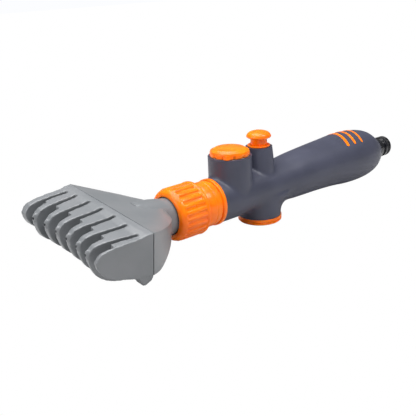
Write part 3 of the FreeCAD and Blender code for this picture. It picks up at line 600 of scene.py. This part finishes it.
    def round_ends(self, piece: bpy.types.Object, hub: Vector, axis: Vector, width: float,
                   radius: float) -> None:
        """Draw a strip's corners in, so that each end is a half round.

        Args:
            piece: The strip.
            hub: The point that it was bent about, in metres.
            axis: The line that it was bent about.
            width: Its width.
            radius: The grip's radius.
        """
        half = width / 2
        sideways = Vector((-axis.y, axis.x, 0))
        for vertex in piece.data.vertices:
            offset = vertex.co - hub
            turn = math.atan2((offset - axis * offset.dot(axis)).dot(sideways), offset.z)
            left = (math.radians(self.stripe_spread) - abs(turn)) * radius
            if left < half:
                share = math.sqrt(max(1 - ((half - left) / half) ** 2, 0.02))
                vertex.co -= axis * offset.dot(axis) * (1 - share)

    def lay(self, piece: bpy.types.Object, rings: Sequence[tuple[float, ...]]) -> None:
        """Lay a strip on the grip's round sections, just proud of the skin."""
        for vertex in piece.data.vertices:
            spot = vertex.co / MM - Vector((VALVE_X, 0, 0))
            place = next(n for n, ring in enumerate(rings) if ring[0] >= spot.x)
            (x0, r0, z0), (x1, r1, z1) = rings[place - 1], rings[place]
            share = (spot.x - x0) / (x1 - x0)
            core = Vector((spot.x, 0, z0 + (z1 - z0) * share))
            outward = (spot - core).normalized()
            proud = core + outward * (r0 + (r1 - r0) * share + self.stripe_proud)
            vertex.co = at(proud.x, proud.y, proud.z)

    def make_stripe(self, name: str, along: float, width: float) -> None:
        """Make one inlaid stripe and give it its thickness."""
        rings = fluent(self.stations, 7)
        _, radius, height = min(rings, key=lambda ring: abs(ring[0] - along))
        slant = math.radians(self.stripe_slant)
        axis = Vector((math.cos(slant), -math.sin(slant), 0))
        stripe = self.strip(along, width, height, radius, axis)
        settle(stripe, f"inlay_{name}")
        self.round_ends(stripe, at(along, 0, height), axis, width, radius)
        self.lay(stripe, rings)
        edit(stripe)
        bpy.ops.mesh.normals_make_consistent(inside=False)
        bpy.ops.object.mode_set(mode="OBJECT")
        if stripe.data.polygons[len(stripe.data.polygons) // 2].normal.z < 0:
            edit(stripe)
            bpy.ops.mesh.flip_normals()
            bpy.ops.object.mode_set(mode="OBJECT")
        shape(stripe, "SOLIDIFY", thickness=self.stripe_depth * MM, offset=-1.0)
        soften(stripe, 0.12, 2, 50)
        fit(stripe, ORANGE_ABS, "handle", "orange_plastic", f"grip_stripe_{name}")

    def build(self) -> None:
        """Make the skin, then the stripes that lie on it."""
        self.make_skin()
        for name, along, width in self.stripes:
            self.make_stripe(name, along, width)


@dataclass
class Valve:
    """Push button, its guide bush and the service cap under the bulge."""

    stem: float = 6.1
    stem_low: float = 12.5
    rim: float = 9.1
    rim_low: float = 37.6
    top: float = 42.7
    bush: float = 8.3
    bush_seat: float = 31.05
    bush_top: float = 32.2
    plug: float = 16.45
    plug_low: float = -25.8
    plug_top: float = -21.7
    coin_slot: tuple[float, float, float] = (15.0, 2.4, 1.5)

    def make_button(self) -> None:
        """Turn the button: a straight stem under a domed mushroom head."""
        dome = [(self.top - (self.top - self.rim_low - 1.8) * (1 - math.cos(turn)),
                 (self.rim - 0.5) * math.sin(turn))
                for turn in (math.radians(step * 9) for step in range(9, -1, -1))]
        button = lathe("push_button", [
            (self.stem_low, 0.0), (self.stem_low, self.stem), (self.rim_low - 0.9, self.stem),
            (self.rim_low - 0.2, self.stem + 0.5), (self.rim_low, self.stem + 1.2),
            (self.rim_low, self.rim - 0.5), (self.rim_low + 0.5, self.rim),
            (self.rim_low + 1.3, self.rim), *dome], Axis.Z)
        soften(button, 0.3)
        fit(button, ORANGE_ABS, "button", "orange_plastic", "button")

    def make_bush(self) -> None:
        """Turn the guide bush that the stem slides in."""
        bush = lathe("guide_bush", [
            (20.7, self.stem + 0.07), (20.7, self.stem + 0.88),
            (self.bush_seat, self.stem + 0.88), (self.bush_seat, self.bush),
            (self.bush_top, self.bush), (self.bush_top, self.stem + 0.6),
            (self.bush_top - 0.5, self.stem + 0.07)], Axis.Z)
        soften(bush, 0.25)
        fit(bush, ORANGE_ABS, "handle", "orange_plastic", "button_bush")

    def make_cap(self) -> None:
        """Turn the service cap with its grip groove, and mill its coin slot."""
        cap = lathe("service_cap", [
            (self.plug_low, 0.0), (self.plug_low, self.plug - 0.8),
            (self.plug_low + 0.8, self.plug), (self.plug_low + 1.8, self.plug),
            (self.plug_low + 1.8, self.plug - 0.6), (self.plug_low + 2.2, self.plug - 0.6),
            (self.plug_low + 2.2, self.plug), (self.plug_top, self.plug),
            (self.plug_top, 10.2), (-13.1, 10.2), (-13.1, 5.4), (-19.5, 5.4), (-19.5, 0.0),
        ], Axis.Z)
        length, width, depth = self.coin_slot
        corners = [at(x * length / 2, y * width / 2, self.plug_low - 1)
                   for x, y in ((-1, -1), (1, -1), (1, 1), (-1, 1))]
        carve(cap, prism(corners, Vector((0, 0, depth + 1)) * MM))
        soften(cap, 0.22, 2)
        fit(cap, ORANGE_ABS, "valve_cap", "orange_plastic", "valve_cap")

    def build(self) -> None:
        """Make the three pieces."""
        self.make_button()
        self.make_bush()
        self.make_cap()


@dataclass
class SoapCap:
    """Scalloped screw cap on the large turret, with a thumb lobe."""

    along: float = -29.2
    radius: float = 14.2
    low: float = 30.4
    shoulder: float = 33.5
    top: float = 36.1
    flat: float = 11.0
    thread: float = 9.6
    scallops: int = 12
    scallop_radius: float = 2.2
    lobe_radius: float = 3.0
    lobe_reach: float = 15.6
    lobe_turn: float = 219.0

    def build(self) -> None:
        """Turn the cap, add the lobe and bite the scallops out of its skirt."""
        crown = [(self.top - 0.75 + 0.75 * math.cos(turn), self.flat * math.sin(turn))
                 for turn in (math.radians(step * 15) for step in range(6, -1, -1))]
        cap = lathe("soap_screw_cap", [
            (25.0, 0.0), (25.0, self.thread), (self.low, self.thread), (self.low, self.radius),
            (self.shoulder - 0.6, self.radius), (self.shoulder + 0.5, self.radius - 0.5),
            (self.top - 1.5, self.flat + 1.2), *crown], Axis.Z, self.along)
        bites = []
        for count in range(self.scallops):
            turn = 2 * math.pi * count / self.scallops
            reach = self.radius + 1.1
            bites.append(rod(at(self.along + reach * math.cos(turn), reach * math.sin(turn),
                                self.low + 1.2), self.scallop_radius, 6.0, sides=40, tip=1.1))
        carve(cap, combine(bites, "bites"))
        turn = math.radians(self.lobe_turn)
        reach = self.lobe_reach - self.lobe_radius
        lobe = rod(at(self.along + reach * math.cos(turn), reach * math.sin(turn),
                      self.low + 1.3), self.lobe_radius, 2.6, sides=48, tip=2.4)
        carve(cap, lobe, keep_both=True)
        soften(cap, 0.28, 2, 28)
        fit(cap, ORANGE_ABS, "soap_cap", "orange_plastic", "soap_cap")


@dataclass
class Coupling:
    """Threaded adapter on the handle and the ribbed union nut in front of it."""

    flange: float = 16.8
    flange_x: float = -47.9
    body: float = 16.1
    step: float = -62.9
    mouth: float = -80.0
    thread: float = 15.0
    pitch: float = 3.0
    back: float = -64.3
    front: float = -88.3
    bead: float = 18.9
    grip: float = 18.6
    bore: float = 15.4
    flutes: int = 24
    flute_depth: float = 0.95

    def make_adapter(self) -> None:
        """Turn the adapter with its flange, groove, mould line and thread."""
        crests = []
        turns = int((self.step - self.mouth - 3) / self.pitch)
        for count in reversed(range(turns + 1)):
            place = self.mouth + 1.5 + count * self.pitch
            crests += [(place + 0.9, self.thread), (place + 0.2, self.thread - 0.9),
                       (place - 0.2, self.thread - 0.9), (place - 0.9, self.thread)]
        lip = self.flange_x - 2.6
        adapter = lathe("hose_adapter", [
            (-41.5, 6.05), (-41.5, 12.0), (self.flange_x, 12.0), (self.flange_x, self.flange),
            (lip + 0.4, self.flange), (lip, self.flange - 0.5), (lip, self.body - 0.7),
            (lip - 1.2, self.body - 0.7), (lip - 1.5, self.body), (-55.6, self.body),
            (-55.8, self.body - 0.25), (-56.2, self.body - 0.25), (-56.4, self.body),
            (-60.2, self.body - 0.1), (self.step, self.body - 0.7), (self.step, self.thread),
            *crests, (self.mouth, self.thread - 0.5), (self.mouth, 8.0), (-55.5, 8.0),
            (-55.5, 6.05)], Axis.X)
        soften(adapter, 0.3, 3, 40)
        fit(adapter, ORANGE_ABS, "handle", "orange_plastic", "threaded_adapter")

    def make_nut(self) -> None:
        """Turn the nut, then press the flutes in between its ribs."""
        start, end = self.back - 3.2, self.front + 4.3
        nut = lathe("coupling_nut", [
            (self.back, self.bore), (self.back, self.bead - 0.9),
            (self.back - 0.5, self.bead - 0.2), (self.back - 1.2, self.bead),
            (self.back - 2.2, self.bead - 0.1), (self.back - 2.9, self.grip - 0.3),
            (start + 0.3, self.grip - 0.3), (start - 0.5, self.grip - 0.01),
            (end + 0.5, self.grip - 0.01), (end - 0.3, self.grip - 0.45),
            (self.front + 2.8, self.grip - 0.8), (self.front + 1.6, self.grip - 1.4),
            (self.front + 0.6, self.grip - 2.3), (self.front, self.grip - 3.6),
            (self.front, 13.5), (self.front + 4, 13.5), (self.front + 4, self.bore),
        ], Axis.X, steps=self.flutes * 8)
        spacing = 2 * math.pi / self.flutes
        pressed = pick(nut, lambda spot: end < spot.x < start and spot.yz.length > self.grip - 0.2
                       and 0.19 < (math.atan2(spot.z, spot.y) / spacing) % 1 < 0.68)
        log.info("coupling_nut: %d vertices pressed in", pressed)
        share = 1 - self.flute_depth / self.grip
        bpy.ops.transform.resize(value=(1, share, share), center_override=at(0))
        bpy.ops.object.mode_set(mode="OBJECT")
        soften(nut, 0.22, 2, 20)
        fit(nut, ORANGE_ABS, "nut", "orange_plastic", "union_nut")

    def build(self) -> None:
        """Make the two pieces."""
        self.make_adapter()
        self.make_nut()


@dataclass
class Head:
    """Fan-shaped manifold with its neck, and the comb with its jets."""

    bowl: tuple[tuple[float, ...], ...] = (
        # along, half width, deck's edge, deck's middle, foot of the sides, belly
        (-133.3, 45.9, 19.4, 19.8, -8.2, -10.5), (-124.0, 40.8, 16.3, 17.5, -9.5, -14.5),
        (-114.0, 33.8, 13.3, 15.4, -7.5, -16.4), (-106.5, 27.6, 11.3, 13.9, -4.5, -16.6),
        (-101.0, 21.6, 9.6, 12.9, -2.5, -15.6), (-98.0, 16.5, 8.6, 12.2, -1.5, -14.0),
    )
    wall: float = 2.6
    seam: float = -133.3
    centre: float = -377.5     # the point that the teeth fan out from
    pitch: float = 3.3         # degrees from tooth to tooth
    spread: float = 13.2
    plate_start: float = 9.9
    nose: float = 211.0
    jet_height: float = 10.4
    jet_radius: float = 0.9
    jet_reach: tuple[float, float] = (204.0, 240.0)
    half: float = 45.9
    profile: tuple[tuple[float, float], ...] = (
        (254.0, 19.7), (241.0, 19.5), (236.0, 18.3), (231.0, 17.8), (220.6, 16.8),
        (214.9, 15.3), (212.6, 13.2), (211.0, 10.4), (211.3, 5.5), (213.0, 0.8),
        (215.0, -3.0), (218.0, -5.9), (221.6, -8.1), (225.4, -9.4), (230.0, -10.2),
        (238.0, -10.2), (254.0, -9.0))
    relief: tuple[tuple[float, float], ...] = (
        (207.0, 10.4), (211.0, 10.4), (212.0, 6.4), (214.4, 2.4), (218.0, -1.1),
        (224.5, -3.9), (230.4, -5.5), (237.0, -7.5), (258.0, -8.2), (258.0, -16.0),
        (207.0, -16.0))
    slot: tuple[tuple[float, float], ...] = (
        # degrees from the slot's line, fan radius
        (0.59, 240.5), (1.4, 195.0), (-1.11, 195.0), (-1.11, 223.0), (-0.01, 223.0),
        (-0.01, 240.5))
    last_slot: tuple[tuple[float, float], ...] = (
        (9.46, 240.5), (11.4, 195.0), (8.79, 195.0), (8.79, 223.0), (9.4, 223.0),
        (8.86, 240.5))
    top_line: tuple[tuple[float, float], ...] = (
        (-132.3, 19.6), (-132.3, 25.0), (-177.0, 25.0), (-177.0, 16.9), (-161.0, 16.9),
        (-150.0, 17.8), (-142.3, 18.1), (-137.3, 19.3))
    lip: tuple[tuple[float, float], ...] = (
        (-144.5, -6.0), (-140.6, -13.3), (-138.6, -13.6), (-134.4, -11.8), (-133.0, -9.6),
        (-133.0, -6.0))
    lip_width: float = 7.0
    grid: float = 0.5
    jets: list[float] = field(default_factory=lambda: [-8.25, -4.95, -1.65, 1.65, 4.95, 8.25])

    def fan(self, degrees: float, radius: float, up: float = 0.0) -> Vector:
        """Return a point given in the fan's own angle and radius, in metres."""
        turn = math.radians(degrees)
        return at(self.centre + radius * math.cos(turn), radius * math.sin(turn), up)

    def swept(self, points: Sequence[tuple[float, float]], start: float,
              sweep: float) -> bpy.types.Object:
        """Sweep a closed side profile round the fan's centre.

        Args:
            points: The profile's corners, as fan radius and height.
            start: Where the sweep begins, in degrees.
            sweep: How far it goes, in degrees.

        Returns:
            The closed solid.
        """
        piece = outline([self.fan(start, radius, up) for radius, up in points])
        bpy.ops.mesh.edge_face_add()
        bpy.ops.mesh.spin(steps=max(int(sweep * 3), 4), angle=math.radians(sweep),
                          center=at(self.centre), axis=(0, 0, -1))
        bpy.ops.mesh.select_all(action="SELECT")
        bpy.ops.mesh.remove_doubles(threshold=MM / 200)
        bpy.ops.mesh.normals_make_consistent(inside=False)
        bpy.ops.object.mode_set(mode="OBJECT")
        return piece

    def clock(self, piece: bpy.types.Object) -> None:
        """Turn a finished head piece to the head's rest angle about the wand's axis."""
        piece.rotation_euler.x = HEAD_CLOCK
        settle(piece, piece.name)

    def comb_block(self) -> bpy.types.Object:
        """Return the comb before it is slotted: a swept block with its sides sawn off."""
        block = self.swept(self.profile, -self.spread, 2 * self.spread)
        trim(block, at(self.seam), Vector((1, 0, 0)), True, lambda spot: True)
        slope = Vector((self.seam + 1 - (-176.8), 2.9, 0)).normalized()
        for side in (1, -1):
            away = Vector((-slope.y, side * slope.x, 0))
            trim(block, at(self.seam + 1, side * self.half, 0), away, True, lambda spot: True)
        carve(block, prism([at(x, -60, z) for x, z in self.top_line],
                           Vector((0, 120, 0)) * MM))
        for start in (self.plate_start, -self.spread - 1.0):
            carve(block, self.swept(self.relief, start, self.spread + 1 - self.plate_start))
        return block

    def cutter(self, corners: Sequence[tuple[float, float]], turn: float) -> bpy.types.Object:
        """Return the tool that saws one slot between two teeth."""
        return prism([self.fan(turn + degrees, radius, -40) for degrees, radius in corners],
                     Vector((0, 0, 80)) * MM)

    def boss(self, turn: float) -> bpy.types.Object:
        """Return the flattened almond round one jet's mouth."""
        bpy.ops.object.select_all(action="DESELECT")
        bpy.ops.mesh.primitive_uv_sphere_add(
            segments=24, ring_count=16, radius=MM,
            location=self.fan(turn, self.nose + 0.9, self.jet_height - 0.3),
            scale=(1.9, 1.8, 3.4), rotation=(0, 0, math.radians(turn)))
        return settle(bpy.context.object, "boss")

    def bore(self, turn: float) -> bpy.types.Object:
        """Return the drill of the jet that lies at an angle in degrees."""
        start, end = (self.fan(turn, radius, self.jet_height) for radius in self.jet_reach)
        bpy.ops.object.select_all(action="DESELECT")
        bpy.ops.mesh.primitive_cone_add(
            vertices=24, radius1=self.jet_radius * MM, radius2=self.jet_radius * MM,
            depth=(end - start).length, location=(start + end) / 2,
            rotation=Vector((0, 0, 1)).rotation_difference(end - start).to_euler())
        return settle(bpy.context.object, "bore")

    def make_comb(self) -> None:
        """Slot the block, add bosses and lips, round it all and bore the jets."""
        comb = self.comb_block()
        for count in range(6):
            carve(comb, self.cutter(self.slot, (count - 3) * self.pitch))
        carve(comb, self.cutter(self.last_slot, 0))
        width = Vector((0, self.lip_width, 0)) * MM
        inner = self.half - 0.7
        lips = [prism([at(x, low, z) for x, z in self.lip], width)
                for low in (inner - self.lip_width, -inner)]
        comb = combine([comb, *lips, *[self.boss(turn) for turn in self.jets]], "spray_comb")
        shape(comb, "REMESH", mode="VOXEL", voxel_size=self.grid * MM)
        shape(comb, "SMOOTH", factor=0.5, iterations=3)
        for side in (1, -1):
            carve(comb, self.seam_gap(side))
        for turn in self.jets:
            carve(comb, self.bore(turn))
        self.clock(comb)
        fit(comb, GREY_ABS, "head", "grey_plastic", "comb")

    def section(self, station: Sequence[float], inset: float) -> list[Vector]:
        """Return one closed outline of the manifold: cambered top, sides, round belly.

        Args:
            station: One row of the bowl.
            inset: How far the outline is drawn in, in millimetres.

        Returns:
            Sixty-four points in metres.
        """
        along, half, edge, crown, foot, belly = station
        half, edge, crown = half - inset, edge - inset, crown - inset
        foot, belly = foot + inset, belly + inset
        top = [at(along, half * (1 - count / 12), crown + (edge - crown) * (1 - count / 12) ** 2)
               for count in range(24)]
        near = [at(along, -half, edge + (foot - edge) * count / 8) for count in range(8)]
        low = [at(along, -half * math.cos(math.pi * count / 24),
                  foot - (foot - belly) * math.sin(math.pi * count / 24)) for count in range(24)]
        far = [at(along, half, foot + (edge - foot) * count / 8) for count in range(8)]
        return [*top, *near, *low, *far]

    def loft(self, inset: float, ends: float) -> bpy.types.Object:
        """Bridge the manifold's sections into a closed solid.

        Args:
            inset: How far the form is drawn in.
            ends: How much longer it is past the seam.

        Returns:
            The solid.
        """
        rings = []
        stations = fluent(self.bowl, 4)
        first = (stations[0][0] - ends, *stations[0][1:])
        for station in ([first] if ends else []) + stations:
            bpy.ops.object.select_all(action="DESELECT")
            bpy.ops.mesh.primitive_circle_add(vertices=64, radius=MM, location=(0, 0, 0))
            ring = bpy.context.object
            for vertex, spot in zip(ring.data.vertices, self.section(station, inset)):
                vertex.co = spot
            rings.append(ring)
        solid = combine(rings, "loft")
        edit(solid)
        bpy.ops.mesh.select_mode(type="EDGE")
        bpy.ops.mesh.select_all(action="SELECT")
        bpy.ops.mesh.bridge_edge_loops()
        bpy.ops.mesh.select_all(action="SELECT")
        bpy.ops.mesh.fill_holes(sides=0)
        bpy.ops.mesh.select_all(action="SELECT")
        bpy.ops.mesh.normals_make_consistent(inside=False)
        bpy.ops.object.mode_set(mode="OBJECT")
        return solid

    def seam_gap(self, side: int) -> bpy.types.Object:
        """Return the tool for the gap that shows at the seam's side."""
        inner, outer = side * (self.half - 1.1), side * (self.half + 3)
        return prism([at(self.seam - 0.28, y, z) for y, z in (
            (inner, -9.5), (outer, -9.5), (outer, 18.3), (inner, 18.3))],
            Vector((0.56, 0, 0)) * MM)

    def make_manifold(self) -> None:
        """Fuse the bowl and the neck, round their edges and hollow them out."""
        neck = lathe("neck", [
            (-82.1, 0.0), (-82.1, 12.8), (-82.75, 12.8), (-82.75, 11.5), (-84.25, 11.5),
            (-84.25, 12.8), (-90.3, 12.8), (-100.0, 14.7), (-110.0, 15.9), (-115.0, 16.1),
            (-115.0, 0.0),
        ], Axis.X)
        manifold = self.loft(0.0, 0.0)
        carve(manifold, neck, keep_both=True)
        manifold.name = manifold.data.name = "spray_manifold"
        soften(manifold, 0.45, 2, 35)
        for side in (1, -1):
            carve(manifold, self.seam_gap(side))
        carve(manifold, self.loft(self.wall, 3.0))
        carve(manifold, rod(at(-98), 9.0, 40, Axis.X, 64))
        self.clock(manifold)
        fit(manifold, GREY_ABS, "head", "grey_plastic", "head_manifold")

    def build(self) -> None:
        """Make the two pieces."""
        self.make_manifold()
        self.make_comb()


@dataclass
class Inlet:
    """Push-fit hose nipple at the handle's end."""

    reach: float = 157.0
    radius: float = 8.6
    bore: float = 5.5

    def build(self) -> None:
        """Turn the nipple with its two grooves."""
        reach, radius = self.reach, self.radius
        nipple = lathe("hose_nipple", [
            (126.0, 6.05), (126.0, 8.0), (129.0, 8.0), (129.0, 10.5), (132.0, 10.5),
            (132.0, radius - 0.1), (reach - 10.6, radius - 0.1), (reach - 10.0, radius - 1.3),
            (reach - 8.0, radius - 1.3), (reach - 7.6, radius), (reach - 5.0, radius),
            (reach - 4.8, radius - 1.6), (reach - 2.9, radius - 1.6), (reach - 2.7, radius),
            (reach - 0.9, radius), (reach, radius - 0.9), (reach, self.bore + 0.4),
            (reach - 0.4, self.bore), (reach - 16.0, self.bore), (reach - 16.0, 4.8),
            (132.0, 4.8), (132.0, 6.05)], Axis.X)
        soften(nipple, 0.25, 3, 35)
        fit(nipple, BLACK_ACETAL, "handle", "black_plastic", "hose_inlet")


@dataclass
class Innards:
    """The CAD pieces that stay as they are and only get their finishes."""

    finishes: dict[str, Finish] = field(default_factory=lambda: {
        "core_left": NYLON, "core_right": NYLON, "valve_barrel": NYLON, "front_pipe": NYLON,
        "rear_pipe": NYLON, "soap_cup": NYLON, "valve_spool": BLACK_ACETAL,
        "soap_jet": BLACK_ACETAL, "neck_ring": BLACK_ACETAL, "spool_rings": SEAL_RUBBER,
        "valve_cap_seal": SEAL_RUBBER, "soap_cap_gasket": SEAL_RUBBER,
        "coupling_washer": SEAL_RUBBER, "head_gasket": SEAL_RUBBER, "inlet_ring": SEAL_RUBBER,
        "valve_spring": DRAWN_WIRE, "inlet_screen": WIRE_GAUZE})

    def build(self) -> None:
        """Finish each piece."""
        for node, finish in self.finishes.items():
            dress(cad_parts[node], finish)
            log.info("%s: %s", node, finish.name)


@dataclass
class Studio:
    """Pale floor, soft lights and the camera."""

    camera_place: Point = (-0.49779, -0.33941, 0.15592)
    camera_right: Point = (0.751138, -0.658965, -0.039422)
    camera_up: Point = (0.250486, 0.229253, 0.940580)
    camera_back: Point = (-0.610774, -0.716382, 0.337264)
    lens: float = 58.2
    floor_height: float = -0.0259
    fill: float = 0.21         # light from all round
    # name, place, what it faces, width and height in metres, watts
    lights: tuple[tuple[str, Point, Point, float, float, float], ...] = (
        ("overhead", (-0.30, 0.10, 0.80), (-0.24, 0.0, 0.0), 0.9, 0.7, 11.0),
        ("front", (-0.02, -0.42, 0.62), (-0.06, 0.0, 0.0), 0.4, 0.22, 3.4),
        ("left", (-1.05, 0.15, 0.40), (-0.25, 0.0, 0.0), 0.6, 0.5, 3.2),
    )

    def place_camera(self) -> None:
        """Stand the camera where it looks along the wand from the comb's side."""
        scene = bpy.context.scene
        scene.view_settings.view_transform = "Standard"
        camera = bpy.data.objects.new("camera", bpy.data.cameras.new("camera"))
        scene.collection.objects.link(camera)
        turn = Matrix((self.camera_right, self.camera_up, self.camera_back)).transposed()
        camera.matrix_world = Matrix.Translation(self.camera_place) @ turn.to_4x4()
        camera.data.lens = self.lens
        camera.data.sensor_width = 36.0
        camera.data.clip_start = 0.01
        scene.camera = camera

    def hang_lights(self) -> None:
        """Hang each soft light and aim it."""
        for name, place, target, width, height, power in self.lights:
            lamp = bpy.data.lights.new(name, "AREA")
            lamp.shape, lamp.size, lamp.size_y, lamp.energy = "RECTANGLE", width, height, power
            holder = bpy.data.objects.new(name, lamp)
            holder.location = place
            aim = Vector(target) - Vector(place)
            holder.rotation_euler = aim.to_track_quat("-Z", "Y").to_euler()
            bpy.context.scene.collection.objects.link(holder)

    def surround(self) -> None:
        """Set the weak light from all round, which the camera sees as white."""
        world = bpy.data.worlds.new("studio")
        world.use_nodes = True
        tree = world.node_tree
        tree.nodes.clear()
        seen = add(tree, "ShaderNodeLightPath").outputs["Is Camera Ray"]
        glow = add(tree, "ShaderNodeMapRange", Value=seen, To_Min=self.fill, To_Max=1.0)
        sky = add(tree, "ShaderNodeBackground", Color=linear("#FCFDFF"),
                  Strength=glow.outputs["Result"])
        add(tree, "ShaderNodeOutputWorld", Surface=sky.outputs["Background"])
        bpy.context.scene.world = world

    def lay_floor(self) -> None:
        """Lay an opal sheet that is lit from below, which washes out the shadows on it."""
        bpy.ops.object.select_all(action="DESELECT")
        bpy.ops.mesh.primitive_plane_add(size=6.0, location=(-0.16, 0, self.floor_height))
        floor = bpy.context.object
        floor.name = "floor"
        opal = bpy.data.materials.new("opal_light_table")
        opal.use_nodes = True
        tree = opal.node_tree
        tree.nodes.clear()
        seen = add(tree, "ShaderNodeLightPath").outputs["Is Camera Ray"]
        lit = add(tree, "ShaderNodeEmission", Color=linear("#FFFFFF"), Strength=1.0)
        sheet = add(tree, "ShaderNodeBsdfDiffuse", Color=linear("#C8C8C8"))
        both = add(tree, "ShaderNodeMixShader", Fac=seen, in_1=sheet.outputs["BSDF"],
                   in_2=lit.outputs["Emission"])
        add(tree, "ShaderNodeOutputMaterial", Surface=both.outputs["Shader"])
        floor.data.materials.append(opal)

    def build(self) -> None:
        """Set up the camera, the lights, the surround and the floor."""
        self.place_camera()
        self.hang_lights()
        self.surround()
        self.lay_floor()


def main() -> None:
    """Build the wand's sub-assemblies in order and note the sizes they come to."""
    logging.basicConfig(level=logging.INFO, format="%(name)s: %(message)s")
    bpy.ops.object.select_all(action="DESELECT")
    for part in (Studio(), Handle(), Valve(), SoapCap(), Coupling(), Head(), Inlet(), Innards()):
        part.build()
        log.info("%s done", type(part).__name__)


if __name__ == "__main__":
    main()
